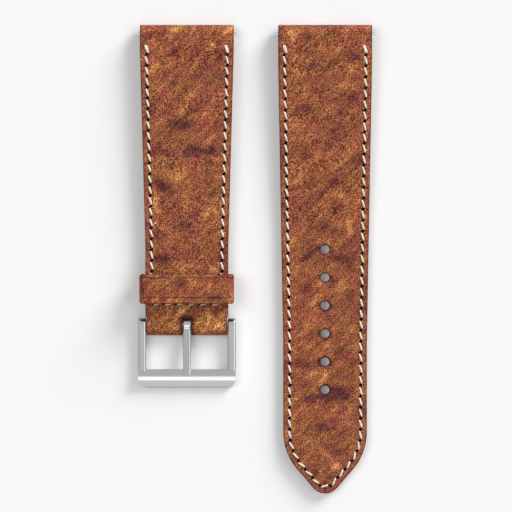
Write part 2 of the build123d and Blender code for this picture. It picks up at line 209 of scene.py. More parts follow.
# stations: rows of the outline with (z, normal along, normal up, thickness, on the underside) after them
def strapSheet(stations, half, wallSlot=0):
    insets = liningInsets if stations[0][-1] else edgeInsets
    count, last = len(insets), insets[-1]
    cols = 2 * count + middleCols - 2

    def place(row, col, depth):
        width, s, acrossIn, alongIn, z, normalS, normalZ, thick, under = stations[row]
        side = -1 if col <= cols / 2 else 1
        fromEdge = col if side < 0 else cols - col
        inset = insets[fromEdge] if fromEdge < count else last
        x = side * (width - inset * acrossIn)
        if fromEdge >= count:
            inner = width - last * acrossIn
            x = -inner + 2 * inner * (col - count + 1) / middleCols
        along = s - inset * alongIn
        dip = (underDip if under else faceDip)(inset, along, half)
        sink = thick if depth else dip
        return Vector((half["centre"] + x, strap["lugEnd"] - along + normalS * sink, z - normalZ * sink))

    return shapedSheet(len(stations) - 1, cols, place, wallSlot)


# round the spring bar at the lug end, from the underside to the top, at a depth below the face
def loopStations(half, depth, thick, start):
    radius = strap["lugRadius"]
    rows = [(*planRow(half, s), depth, 0, -1, thick, True) for s in spaced(start, radius, steps["row"])]
    for turn in spaced(-math.pi / 2, -3 * math.pi / 2, steps["bend"])[1:]:
        s = radius + (radius - depth) * math.cos(turn)
        rows.append((halfWidth(half, max(s, 0)), s, 1.0, 0.0, radius + (radius - depth) * math.sin(turn),
                     math.cos(turn), math.sin(turn), thick, False))
    return rows


# the short half's leather is skived thinner for its fold round the buckle bar
def foldLeather(s):
    start = shortHalf["foldReturn"]
    return ramp(s, start, start + shortHalf["skive"], strap["face"], shortHalf["foldLeather"])


def shortFaceStations():
    rows = loopStations(shortHalf, 0.0, strap["face"], strap["returnEnd"])
    radius, notch = shortHalf["foldRadius"], shortHalf["notch"]
    wide, narrow = notch - shortHalf["notchGap"], notch + shortHalf["notchGap"]
    centre = shortHalf["length"] - radius
    stops = spaced(strap["lugRadius"], wide, steps["row"])[1:]
    stops += [narrow] + spaced(notch + steps["fold"], centre, steps["fold"])
    for s in stops:
        rows.append((*planRow(shortHalf, s), topHeight(shortHalf, s), 0, 1, foldLeather(s), False))
    for turn in spaced(math.pi / 2, -math.pi / 2, steps["bend"])[1:]:
        rows.append((shortHalf["foldHalf"], centre + radius * math.cos(turn), 1.0, 0.0,
                     radius + radius * math.sin(turn), math.cos(turn), math.sin(turn),
                     foldLeather(centre), False))
    stops = spaced(centre, narrow, steps["fold"])[1:] + spaced(wide, shortHalf["foldReturn"], steps["fold"])
    return rows + [(*planRow(shortHalf, s), 0, 0, -1, foldLeather(s), True) for s in stops]


def longFaceStations():
    rows = loopStations(longHalf, 0.0, strap["face"], strap["returnEnd"])
    for s in spaced(strap["lugRadius"], tipStart, steps["row"])[1:-1]:
        rows.append((*planRow(longHalf, s), topHeight(longHalf, s), 0, 1, strap["face"], False))
    return rows + [(*row, longHalf["thickness"], 0, 1, strap["face"], False) for row in tipTable]


def liningStations(half):
    end = tipStart if half is longHalf else shortHalf["foldReturn"]
    stops = spaced(strap["returnEnd"] + strap["joinGap"], end - strap["joinGap"], steps["row"])
    rows = [(*planRow(half, s), 0, 0, -1, strap["lining"], True) for s in stops]
    if half is longHalf:
        rows += [(*row, 0, 0, -1, strap["lining"], True) for row in tipTable[1:]]
    return rows


# room between the hidden layers and what is beside them
layerGaps = {"lugLoop": 0.2, "longEnd": 0.6, "buckleBar": 1.0, "paddingSide": 0.04, "tapeSide": 0.03}


def paddingStations(half):
    start = strap["lugRadius"] + strap["lugRadius"] - strap["face"] + layerGaps["lugLoop"]
    end = longHalf["flat"] - layerGaps["longEnd"]
    if half is shortHalf:
        end = shortHalf["bar"] - layerGaps["buckleBar"]
    rows = []
    for s in spaced(start, end, steps["row"]):
        leather, low = strap["face"], strap["lining"]
        if half is shortHalf:
            leather, skived = foldLeather(s), shortHalf["foldReturn"]
            low = ramp(s, skived, skived + shortHalf["skive"], strap["lining"], leather)
        tape = strap["tape"] if s < strap["tapeEnd"] else 0
        top = topHeight(half, s)
        rows.append((halfWidth(half, s) - layerGaps["paddingSide"], s, 1.0, 0.0, top - leather - tape, 0, 1,
                     top - leather - low - 2 * tape, False))
    return rows


def tapeStations(half):
    rows = loopStations(half, strap["face"], strap["tape"], strap["tapeEnd"])
    rows += [(*planRow(half, s), topHeight(half, s) - strap["face"], 0, 1, strap["tape"], False)
             for s in spaced(strap["lugRadius"], strap["tapeEnd"], steps["row"])[1:]]
    return [(row[0] - layerGaps["tapeSide"], *row[1:]) for row in rows]


# old marks of the hide: (x, y, half length, half width, angle, gold above 0 or dark below 0)
hideMarksAndFoldLight = {
    "short": [
        (-21, 52.5, 1, 0.6, 0, -0.8), (-25.7, 57.8, 1.8, 0.7, 0, -0.5), (-15.8, 46.7, 1.2, 0.6, 0, -0.6),
        (-9.8, 52.5, 0.9, 1.2, 0, -0.6), (-15, 39.4, 2.1, 1.2, 45, -0.5),
        (-19.3, 34.7, 1.8, 0.7, 0, -0.7), (-14.7, 27.6, 3, 1, 0, -0.9), (-22.8, 27.3, 1.2, 0.7, 0, -0.6),
        (-11.3, 27.6, 0.9, 0.6, 0, -0.5), (-11.9, 24.7, 0.4, 0.4, 0, -0.5),
        (-27.1, 37.8, 0.6, 1.2, 0, -0.5), (-6.7, 59.1, 1.5, 0.6, 40, 0.7), (-11.3, 54.6, 1, 0.4, 45, 0.9),
        (-13.2, 52.5, 1.5, 0.4, 50, 0.7), (-15.5, 50.1, 0.9, 0.4, 45, 0.5),
        (-8.7, 57.5, 1.2, 0.4, 40, 0.5), (-20, 58.8, 0.9, 0.6, 0, 0.4), (-28.9, 59.1, 0.4, 0.9, 0, 0.4),
        (-25.7, 48.8, 1.2, 0.7, 30, 0.5), (-15.5, 42, 1.2, 0.4, 30, 0.6),
        (-20.3, 37.8, 1.8, 0.4, 45, 0.4), (-12.1, 33.4, 0.5, 1.3, 0, 0.8),
        (-11.6, 35.7, 0.4, 0.7, 0, 0.5), (-20.3, 21.6, 1.8, 1.2, 0, 0.4), (-23.4, 25.4, 0.7, 0.6, 0, 0.5),
        (-17.1, 31.5, 2.1, 0.6, 0, 0.35), (-18.6, 20.7, 1, 1.2, 0, 0.35), (-21.4, 21.3, 0.7, 0.6, 0, 0.3),
        (-25.8, 14.5, 0.3, 1.5, 0, 0.8), (-25.9, 17.6, 0.2, 0.9, 0, 0.5), (-10.9, 9.1, 0.7, 0.4, 45, 0.7),
        (-10.1, 12.5, 0.6, 0.7, 0, 0.5), (-25.5, 9.1, 0.6, 0.4, 0, 0.5), (-23.9, 7.7, 1.2, 0.3, -30, 0.4),
        (-25.9, 3.2, 0.2, 1.5, 0, 0.6), (-18.6, -1.8, 0.9, 0.9, 0, 0.5), (-16, 23.3, 1.2, 0.3, 0, 0.4),
        (-10.1, 20.9, 1, 0.4, 0, 0.4), (-10.8, -2.4, 1.2, 0.6, 0, 0.4), (-23.9, 18.8, 1.3, 0.9, 0, -0.8),
        (-22.1, 23.9, 0.7, 0.6, 0, -0.5), (-11.9, 24.8, 0.6, 0.4, 0, -0.6),
        (-23.3, 13.6, 1, 0.7, 0, -0.4), (-23.7, 5.6, 0.7, 0.6, 0, -0.4), (-23.9, 0.1, 1.5, 0.7, 0, -0.8),
        (-17.8, 8.3, 1.3, 1.8, 0, -0.45), (-14.7, 5.8, 1.2, 0.9, 0, -0.35), (-12.1, -7.5, 0.4, 1, 0, 0.8),
        (-16.5, -6.1, 0.6, 0.4, 0, 0.4), (-9.9, -6.8, 1, 0.6, 0, 0.35), (-12, -15.1, 0.4, 1.3, 0, 0.7),
        (-18.2, -13.2, 1, 0.6, 0, 0.4), (-9.4, -17.4, 0.7, 0.6, 0, 0.35),
        (-19.1, -6.3, 1.2, 0.9, 0, -0.8), (-9.9, -10.1, 1.5, 0.4, 0, -0.6),
        (-23.2, -14.1, 1.2, 0.6, 0, -0.4), (-16.3, -16, 0.7, 0.7, 0, -0.5),
        (-29.1, -5.6, 0.4, 1.2, 0, -0.4), (-9.9, -13.2, 1, 0.6, 0, -0.4),
    ],
    "long": [
        (13.6, 56.4, 0.7, 0.6, 0, -0.8), (25.8, 51.6, 0.9, 0.7, 0, -0.7), (19.3, 58.2, 1.2, 1.2, 0, -0.4),
        (26.1, 46.4, 0.6, 0.6, 0, -0.5), (25.3, 41.2, 1.2, 0.7, 30, -0.6), (21.7, 37.5, 1, 0.4, 25, -0.8),
        (13.8, 49.3, 1.5, 0.4, 0, -0.6), (16.9, 43.3, 1.2, 0.4, 40, -0.5), (13, 38, 1, 0.6, 30, -0.5),
        (13.6, 26.3, 1, 0.6, 0, -0.6), (26.1, 26, 1.3, 1.2, 50, -0.6), (9.6, 56.9, 0.9, 1, 0, 0.5),
        (11.7, 58.2, 0.7, 0.2, 0, 0.6), (23.5, 58.7, 0.4, 0.7, -30, 0.7), (22.7, 56.4, 1, 0.4, 60, 0.7),
        (20.6, 54, 1, 0.4, 40, 0.6), (27.2, 56.6, 0.7, 0.6, 0, 0.5), (8.3, 49.1, 0.4, 0.4, 0, 0.8),
        (11.7, 47.2, 0.6, 0.6, 0, 0.5), (24.5, 47.7, 1.5, 0.4, 35, 0.6), (20.6, 44.3, 0.9, 0.4, 30, 0.6),
        (21.9, 49.8, 0.9, 0.4, 0, 0.4), (25.1, 43.5, 1, 0.4, 0, 0.5), (23.5, 27, 2.1, 0.4, 50, 0.7),
        (19.8, 23.9, 0.7, 0.4, 40, 0.6), (6.5, 35.4, 0.2, 0.7, 0, 0.6), (10.1, 51.4, 0.6, 0.9, 0, 0.4),
        (10.9, 23.4, 0.9, 0.6, 0, 0.5), (19.9, 19.7, 1.2, 0.6, 0, -0.7), (12.8, 19.5, 0.7, 0.6, 0, -0.4),
        (20.5, 13, 1.5, 0.6, 35, -0.6), (17.4, 8.3, 1.5, 0.9, 30, -0.7), (15.4, 16, 1.2, 0.4, 45, -0.5),
        (7.3, 11.9, 0.4, 1.2, 0, -0.6), (12.2, 0.3, 1.6, 0.6, 20, -0.8), (21.3, 0.3, 1.8, 0.7, 0, -0.9),
        (24, -2.1, 0.7, 0.4, 0, -0.6), (16.2, 18.4, 1.2, 0.4, 55, 0.6), (20.3, 16.4, 1, 0.4, 20, 0.7),
        (16.4, 13.2, 2.1, 0.3, 42, 0.6), (13.8, 11.1, 0.9, 0.4, 30, 0.5), (23.6, 8.3, 0.4, 1.3, 0, 0.9),
        (18.5, 4.6, 0.6, 0.4, 0, 0.7), (9.5, 4.4, 0.7, 0.7, 0, 0.4), (12.4, -1.5, 0.6, 0.4, 0, 0.5),
        (16.2, -4.6, 0.9, 0.9, 0, 0.5), (19.9, -3.8, 0.9, 0.4, 0, 0.6), (16.8, -6.7, 0.7, 0.9, 0, 0.8),
        (10, -11.7, 0.2, 1.3, 0, 0.7), (10.1, -17.5, 0.3, 0.6, 0, 0.7), (24.4, -17.5, 0.4, 0.6, 0, 0.8),
        (25.6, -14.2, 0.6, 0.6, 0, 0.4), (9.9, -23.4, 0.2, 1.3, 0, 0.7), (25.4, -22.6, 0.7, 0.6, 0, 0.5),
        (17.4, -29.5, 0.7, 1, 0, 0.8), (14.6, -29.7, 0.9, 0.6, 0, 0.4), (20.9, -31.5, 0.9, 0.4, 0, 0.4),
        (12.4, -7.9, 1.3, 1, 0, -0.8), (20.3, -9.9, 0.7, 0.3, 0, -0.4), (18.1, -15.1, 0.9, 1, 0, -0.35),
        (11.8, -26.8, 1.3, 0.7, 0, -0.7), (21.3, -33.4, 1.8, 0.6, 0, -0.8),
        (12.4, -32.5, 0.7, 0.6, 0, -0.5), (18, -35.5, 3.5, 0.7, 0, -0.9),
        (12.6, -35.9, 0.9, 0.6, 0, -0.6), (22.8, -35.3, 0.9, 0.9, 0, -0.6),
        (17.1, -43.2, 1, 0.7, 0, -0.8), (20.3, -43.6, 0.7, 0.3, 0, -0.5),
        (21.5, -49.1, 1.3, 0.9, 0, -0.8), (18.3, -47.9, 0.9, 0.6, 0, -0.6),
        (19.5, -55.9, 0.9, 0.6, 0, -0.6), (15.9, -50.7, 0.6, 0.4, 0, -0.5),
        (19.9, -40.3, 1.8, 0.4, 0, 0.5), (23.8, -41.4, 0.4, 1, 0, 0.7), (19.5, -44.6, 0.3, 0.4, 0, 0.6),
        (17.9, -49.9, 1.5, 0.3, -45, 0.5), (20.5, -53.2, 0.7, 0.7, 50, 0.6),
        (16.8, -54.8, 0.4, 0.6, 0, 0.5), (17.1, -31.2, 1.2, 0.4, 0, 0.5), (11.7, -37.7, 0.7, 0.4, 0, 0.4),
    ],
}
# painted light: four broad marks lighten the fold round the buckle bar against the keeper's cast shadow,
# together with the pull-up leather's lightening at the bend
hideMarksAndFoldLight["short"] += [(x, -15.4, 2.6, 3.2, 0, 0.4) for x in (-25.2, -20.2, -15.2, -10.2)]
# the burnish's width at a cut edge, how the marks fade outwards, and how weak they are below a height
painting = {"burnish": 0.35, "reach": 6, "spread": 1.15, "falloff": 1.3, "low": 0.3,
            "strapLow": 0.6, "keeperLow": 5.0}


# writes the hide's marks, the painted light on the fold among them, and its burnished rims on the piece, for
# its material to read
def paintMarks(piece, marks, zLimit):
    data = piece.data
    tone = data.attributes.new("hideToneAndPaintedLight", "FLOAT", "POINT")
    rims = data.attributes.new("hideEdge", "FLOAT", "POINT")
    wallPoints = {index for face in data.polygons if face.material_index for index in face.vertices}
    walls = kdtree.KDTree(len(wallPoints))
    for index in wallPoints:
        walls.insert(data.vertices[index].co, index)
    walls.balance()
    for vert, rim in zip(data.vertices, rims.data):
        rim.value = max(0.0, 1 - walls.find(vert.co)[2] / (painting["burnish"] * mm))
    for vert, item in zip(data.vertices, tone.data):
        x, y = vert.co.x / mm, vert.co.y / mm
        total = 0.0
        for markX, markY, length, width, angle, strength in marks:
            dx, dy = x - markX, y - markY
            if abs(dx) > painting["reach"] or abs(dy) > painting["reach"]:
                continue
            turn = math.radians(angle)
            u = (dx * math.cos(turn) + dy * math.sin(turn)) / (length * painting["spread"])
            v = (-dx * math.sin(turn) + dy * math.cos(turn)) / (width * painting["spread"])
            total += strength * math.exp(-0.5 * (u * u + v * v) ** painting["falloff"])
        item.value = total if vert.co.z / mm > zLimit else painting["low"] * total


def newMaterial(name):
    material = bpy.data.materials.new(name)
    material.use_nodes = True
    nodes, links = material.node_tree.nodes, material.node_tree.links
    nodes.clear()
    output = nodes.new("ShaderNodeOutputMaterial")
    shader = nodes.new("ShaderNodeBsdfPrincipled")
    links.new(shader.outputs["BSDF"], output.inputs["Surface"])
    return material, nodes, links, shader


def mathNode(nodes, links, operation, *values):
    node = nodes.new("ShaderNodeMath")
    node.operation = operation
    for socket, value in zip(node.inputs, values):
        if isinstance(value, (int, float)):
            socket.default_value = value
        else:
            links.new(value, socket)
    return node.outputs[0]


def rampNode(nodes, links, factor, stops, kind="LINEAR"):
    node = nodes.new("ShaderNodeValToRGB")
    node.color_ramp.interpolation = kind
    while len(node.color_ramp.elements) < len(stops):
        node.color_ramp.elements.new(0.5)
    for element, (place, colour) in zip(node.color_ramp.elements, stops):
        element.position = place
        element.color = (*colour, 1)
    links.new(factor, node.inputs["Fac"])
    return node.outputs["Color"]


def noiseNode(nodes, links, vector, scale, detail, rough, distortion=0.0):
    node = nodes.new("ShaderNodeTexNoise")
    node.inputs["Scale"].default_value = scale
    node.inputs["Detail"].default_value = detail
    node.inputs["Roughness"].default_value = rough
    node.inputs["Distortion"].default_value = distortion
    links.new(vector, node.inputs["Vector"])
    return node.outputs["Fac"]


def mapNode(nodes, links, vector, stretch, turn=0.0, shift=(0, 0, 0)):
    node = nodes.new("ShaderNodeMapping")
    node.vector_type = "TEXTURE"  # a pattern is stretched along its own axes and then turned
    node.inputs["Scale"].default_value = stretch
    node.inputs["Rotation"].default_value = (0, 0, math.radians(turn))
    node.inputs["Location"].default_value = shift
    links.new(vector, node.inputs["Vector"])
    return node.outputs["Vector"]


# object coordinates in units of a pattern's own size
def placeNode(nodes, links, size):
    coordinates = nodes.new("ShaderNodeTexCoord")
    return mapNode(nodes, links, coordinates.outputs["Object"], size)


def addBump(nodes, links, shader, height, strength, distance):
    bump = nodes.new("ShaderNodeBump")
    bump.inputs["Strength"].default_value = strength
    bump.inputs["Distance"].default_value = distance
    links.new(height, bump.inputs["Height"])
    links.new(bump.outputs["Normal"], shader.inputs["Normal"])


# noises in millimetres: stretch, turn in degrees, shift, and then scale, detail, roughness and distortion
hideNoises = {
    "broad": ((1, 1.4, 1), -40, (0, 0, 0), 0.16, 3, 0.6, 0.6),
    "blotch": ((1, 1.6, 1), -50, (8, 3, 1), 0.55, 3, 0.6, 0.5),
    "streaks": ((1, 5, 1), -44, (3, 7, 0), 0.8, 5, 0.65, 0.3),
    "warm": ((1, 1.5, 1), -40, (4, 12, 3), 0.33, 3, 0.6, 0.4),
    "rising": ((0.38, 1.4, 1), -48, (0, 0, 0), 1.0, 2, 0.6),
    "falling": ((0.38, 1.4, 1), 36, (5, 9, 2), 1.0, 2, 0.6),
}
grainLook = {
    "fine": (3.5, 1.0, 0.6), "middle": (1.5, 1.5, 0.6),  # scale, detail and roughness of the specks
    "fineWeight": 3.4, "middleWeight": 0.6, "risingWeight": 0.6, "fallingWeight": 0.5,
    "cells": 1.9, "valleys": [(0.0, (0, 0, 0)), (0.22, (1, 1, 1))], "pebbles": 0.35,
}


def hideNoise(nodes, links, place, name):
    stretch, turn, shift, *kind = hideNoises[name]
    return noiseNode(nodes, links, mapNode(nodes, links, place, stretch, turn, shift), *kind)


# leather grain: fine specks with slanting strokes, and its height with small pebbles added
def grainGroup():
    group = bpy.data.node_groups.new("leatherGrain", "ShaderNodeTree")
    group.interface.new_socket("Place", in_out="INPUT", socket_type="NodeSocketVector")
    group.interface.new_socket("Height", in_out="OUTPUT", socket_type="NodeSocketFloat")
    group.interface.new_socket("Specks", in_out="OUTPUT", socket_type="NodeSocketFloat")
    nodes, links = group.nodes, group.links
    source, sink = nodes.new("NodeGroupInput"), nodes.new("NodeGroupOutput")
    place = source.outputs["Place"]
    parts = {"fine": noiseNode(nodes, links, place, *grainLook["fine"]),
             "middle": noiseNode(nodes, links, place, *grainLook["middle"]),
             "rising": hideNoise(nodes, links, place, "rising"),
             "falling": hideNoise(nodes, links, place, "falling")}
    specks = None
    for name, part in parts.items():
        weight = grainLook[name + "Weight"]
        offset = mathNode(nodes, links, "MULTIPLY_ADD", part, weight, -0.5 * weight)
        specks = offset if specks is None else mathNode(nodes, links, "ADD", specks, offset)
    links.new(specks, sink.inputs["Specks"])
    cells = nodes.new("ShaderNodeTexVoronoi")
    cells.feature = "DISTANCE_TO_EDGE"
    cells.inputs["Scale"].default_value = grainLook["cells"]
    links.new(place, cells.inputs["Vector"])
    valleys = rampNode(nodes, links, cells.outputs["Distance"], grainLook["valleys"], "B_SPLINE")
    height = mathNode(nodes, links, "MULTIPLY_ADD", valleys, grainLook["pebbles"], specks)
    links.new(height, sink.inputs["Height"])
    return group


leatherGrain = grainGroup()
hideShades = [(0.0, (0.235, 0.14, 0.065)), (0.5, (0.382, 0.37, 0.358)), (1.0, (0.79, 0.94, 1.2))]
faceLook = {
    "broad": 0.5, "blotch": 0.5, "streaks": 0.9, "marks": 0.38, "edge": 0.6, "middle": 0.5,
    "specks": 4.2, "rough": 0.6, "gloss": 0.12, "bump": 0.3, "bumpHeight": 0.1 * mm,
    "colours": [(0.0, (0.045, 0.014, 0.014)), (0.22, (0.11, 0.030, 0.022)), (0.42, (0.22, 0.064, 0.030)),
                (0.6, (0.33, 0.104, 0.038)), (0.8, (0.52, 0.21, 0.062)), (1.0, (0.74, 0.41, 0.13))],
    "tints": [(0.3, (0.52, 0.42, 0.56)), (0.5, (0.5, 0.5, 0.5)), (0.7, (0.5, 0.6, 0.46))],
}
liningLook = {
    "broad": 0.15, "blotch": 0.1, "streaks": 0.1, "marks": 0.0, "edge": 0.2, "middle": 0.5,
    "specks": 0.4, "rough": 0.75, "gloss": 0.12, "bump": 0.25, "bumpHeight": 0.1 * mm,
    "colours": [(0.0, (0.07, 0.03, 0.02)), (0.5, (0.22, 0.105, 0.055)), (1.0, (0.36, 0.2, 0.11))],
    "tints": [(0.3, (0.5, 0.48, 0.5)), (0.7, (0.5, 0.52, 0.5))],
}


# mottled waxed leather: broad patches, blotches, slanting streaks and old marks under the grain, with
# painted light on the fold and painted shade in the keeper's creases
def hideMaterial(name, look):
    material, nodes, links, shader = newMaterial(name)
    place = placeNode(nodes, links, (mm, mm, mm))
    grain = nodes.new("ShaderNodeGroup")
    grain.node_tree = leatherGrain
    links.new(place, grain.inputs["Place"])
    tone = look["middle"] - 0.5 * (look["broad"] + look["blotch"] + look["streaks"])
    for part in ("broad", "blotch", "streaks"):
        noise = hideNoise(nodes, links, place, part)
        tone = mathNode(nodes, links, "MULTIPLY_ADD", noise, look[part], tone)
    for layer, weight in (("hideToneAndPaintedLight", look["marks"]), ("hideEdge", -look["edge"])):
        marks = nodes.new("ShaderNodeAttribute")
        marks.attribute_name = layer
        tone = mathNode(nodes, links, "MULTIPLY_ADD", marks.outputs["Fac"], weight, tone)
    mixed = rampNode(nodes, links, tone, look["colours"])
    level = mathNode(nodes, links, "MULTIPLY_ADD", grain.outputs["Specks"], look["specks"], 0.5)
    shade = rampNode(nodes, links, level, hideShades)
    tint = rampNode(nodes, links, hideNoise(nodes, links, place, "warm"), look["tints"])
    for layer in (shade, tint):  # both are written at half strength and count double
        product = nodes.new("ShaderNodeVectorMath")
        product.operation = "MULTIPLY"
        links.new(mixed, product.inputs[0])
        links.new(layer, product.inputs[1])
        doubled = nodes.new("ShaderNodeVectorMath")
        doubled.operation = "SCALE"
        doubled.inputs["Scale"].default_value = 2.0
        links.new(product.outputs[0], doubled.inputs[0])
        mixed = doubled.outputs[0]
    links.new(mixed, shader.inputs["Base Color"])
    shader.inputs["Roughness"].default_value = look["rough"]
    shader.inputs["Specular IOR Level"].default_value = look["gloss"]
    addBump(nodes, links, shader, grain.outputs["Height"], look["bump"], look["bumpHeight"])
    return material


edgeLook = {
    "layers": (1.6 * mm, 1.6 * mm, 0.2 * mm), "noise": (1.0, 6, 0.7), "rough": 0.5, "bump": 0.3,
    "bumpHeight": 0.06 * mm, "colours": [(0.3, (0.045, 0.014, 0.008)), (0.7, (0.17, 0.06, 0.028))],
}


# cut edges: pressed fibres under a dark burnished dressing
def edgeMaterial():
    material, nodes, links, shader = newMaterial("burnishedEdge")
    layers = noiseNode(nodes, links, placeNode(nodes, links, edgeLook["layers"]), *edgeLook["noise"])
    links.new(rampNode(nodes, links, layers, edgeLook["colours"]), shader.inputs["Base Color"])
    shader.inputs["Roughness"].default_value = edgeLook["rough"]
    addBump(nodes, links, shader, layers, edgeLook["bump"], edgeLook["bumpHeight"])
    return material


# dark and light colour, scale of the fibres, roughness, sheen and gloss
clothLooks = {
    "pressedFibre": ((0.05, 0.022, 0.013), (0.14, 0.06, 0.03), 2.0, 0.85, 0.2, 0.5),
    "wovenTape": ((0.02, 0.012, 0.01), (0.06, 0.035, 0.025), 5.0, 0.9, 0.2, 0.5),
    "waxedThread": ((0.66, 0.58, 0.47), (0.9, 0.85, 0.76), 5.0, 0.7, 0.2, 0.5),
    "slitShadow": ((0.006, 0.003, 0.002), (0.012, 0.006, 0.004), 3.0, 0.9, 0.0, 0.0),
}
fibres = {"turn": 18, "detail": 5, "rough": 0.75, "distortion": 0.5, "dark": 0.3, "light": 0.65,
          "bump": 0.4, "bumpHeight": 0.03 * mm}


# pressed fibre, tape, thread and the painted shade of the slits: one fine noise colours and roughens them
# all
def clothMaterial(name):
    dark, light, scale, rough, sheen, gloss = clothLooks[name]
    material, nodes, links, shader = newMaterial(name)
    place = mapNode(nodes, links, placeNode(nodes, links, (mm, mm, mm)), (1, 1, 1), fibres["turn"])
    noise = noiseNode(nodes, links, place, scale, fibres["detail"], fibres["rough"], fibres["distortion"])
    colour = rampNode(nodes, links, noise, [(fibres["dark"], dark), (fibres["light"], light)])
    links.new(colour, shader.inputs["Base Color"])
    shader.inputs["Roughness"].default_value = rough
    shader.inputs["Sheen Weight"].default_value = sheen
    shader.inputs["Specular IOR Level"].default_value = gloss
    addBump(nodes, links, shader, noise, fibres["bump"], fibres["bumpHeight"])
    return material


steelLooks = {
    "satinSteel": {"brush": (6 * mm, 0.8 * mm, 0.8 * mm), "rough": 0.16, "change": 0.03, "grey": 0.42},
    "turnedSteel": {"brush": (0.17 * mm, 2.5 * mm, 2.5 * mm), "rough": 0.3, "change": 0.08, "grey": 0.60},
}
brushNoise = (1.0, 2, 0.5)  # scale, detail and roughness


# steel with faint lines that change its gloss, over a plain metal colour
def steelMaterial(name):
    look = steelLooks[name]
    material, nodes, links, shader = newMaterial(name)
    lines = noiseNode(nodes, links, placeNode(nodes, links, look["brush"]), *brushNoise)
    least = look["rough"] - 0.5 * look["change"]
    rough = mathNode(nodes, links, "MULTIPLY_ADD", lines, look["change"], least)
    links.new(rough, shader.inputs["Roughness"])
    shader.inputs["Base Color"].default_value = (look["grey"], look["grey"], look["grey"], 1)
    shader.inputs["Metallic"].default_value = 1.0
    return material


faceHide = hideMaterial("waxedHide", faceLook)
liningHide = hideMaterial("liningHide", liningLook)
burnishedEdge = edgeMaterial()
pressedFibre = clothMaterial("pressedFibre")
wovenTape = clothMaterial("wovenTape")
waxedThread = clothMaterial("waxedThread")
slitShadow = clothMaterial("slitShadow")
satinSteel = steelMaterial("satinSteel")
turnedSteel = steelMaterial("turnedSteel")
print("materials made")


# punches for the slot and the holes. The holes' rims are rounded: low and high are rows of
# (how much wider than the hole, height above the underside or above the top)
punch = {
    "slotBelow": 2, "slotBeyond": 2, "slotTall": 10, "past": 1, "sides": 40,
    "low": [(0.25, 0), (0.06, 0.08), (0, 0.25)], "high": [(0, -0.15), (0.02, -0.05), (0.08, 0.01)],
    "clearWidth": 0.4, "clearDepth": 0.005,
}


# the tongue's slot: straight sides, small rounded corners at its closed end
def slotCutter():
    mesh = bmesh.new()
    half, corner = shortHalf["slotHalf"], shortHalf["slotCorner"]
    back = strap["lugEnd"] - shortHalf["slotBack"]
    front = strap["lugEnd"] - shortHalf["length"] - punch["slotBeyond"]
    points = [(half, front)]
    for turn in spaced(0, math.pi / 2, steps["slotCorner"]):
        points.append((half - corner + corner * math.cos(turn), back - corner + corner * math.sin(turn)))
    points += [(-x, y) for x, y in reversed(points)]
    corners = [mesh.verts.new((shortHalf["centre"] + x, y, -punch["slotBelow"])) for x, y in points]
    face = mesh.faces.new(corners)
    made = bmesh.ops.extrude_face_region(mesh, geom=[face])
    raised = [item for item in made["geom"] if isinstance(item, bmesh.types.BMVert)]
    bmesh.ops.translate(mesh, vec=(0, 0, punch["slotTall"]), verts=raised)
    return finishMesh(mesh, "slotCutter", burnishedEdge)


def holeCutters():
    cutters = []
    top, radius, past = longHalf["thickness"], longHalf["holeRadius"], punch["past"]
    low = [(radius + wider, z) for wider, z in punch["low"]]
    high = [(radius + wider, top + z) for wider, z in punch["high"]]
    profile = [(0, -past), (low[0][0], -past), *low, *high, (high[-1][0], top + past), (0, top + past)]
    for i in range(longHalf["holes"]):
        mesh = bmesh.new()
        verts = [mesh.verts.new((r, 0, z)) for r, z in profile]
        edges = [mesh.edges.new(pair) for pair in zip(verts, verts[1:])]
        bmesh.ops.spin(mesh, geom=verts + edges, cent=(0, 0, 0), axis=(0, 0, 1), steps=punch["sides"],
                       angle=2 * math.pi, use_merge=True, use_duplicate=False)
        y = strap["lugEnd"] - longHalf["firstHole"] - i * longHalf["holePitch"]
        bmesh.ops.translate(mesh, vec=(longHalf["centre"], y, 0), verts=mesh.verts[:])
        cutters.append(finishMesh(mesh, "holeCutter", burnishedEdge))
    return cutters


# takes away what the punches leave above and below the leather
def clearHoles(piece):
    mesh = bmesh.new()
    mesh.from_mesh(piece.data)
    firstY = strap["lugEnd"] - longHalf["firstHole"]
    near, deep = longHalf["holeRadius"] + punch["clearWidth"], punch["clearDepth"]
    spare = []
    for vert in mesh.verts:
        x, y, z = vert.co / mm
        hole = min(max(round((firstY - y) / longHalf["holePitch"]), 0), longHalf["holes"] - 1)
        away = math.hypot(x - longHalf["centre"], y - firstY + hole * longHalf["holePitch"])
        if away < near and not -deep < z < longHalf["thickness"] + deep:
            spare.append(vert)
    bmesh.ops.delete(mesh, geom=spare, context="VERTS")
    mesh.to_mesh(piece.data)
    mesh.free()


def dress(piece, body, slotName, *nodes):
    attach(piece, body)
    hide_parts(*nodes)


def cutSheet(stations, half, name, hide):
    return finishMesh(strapSheet(stations, half, wallSlot=1), name, hide, burnishedEdge)


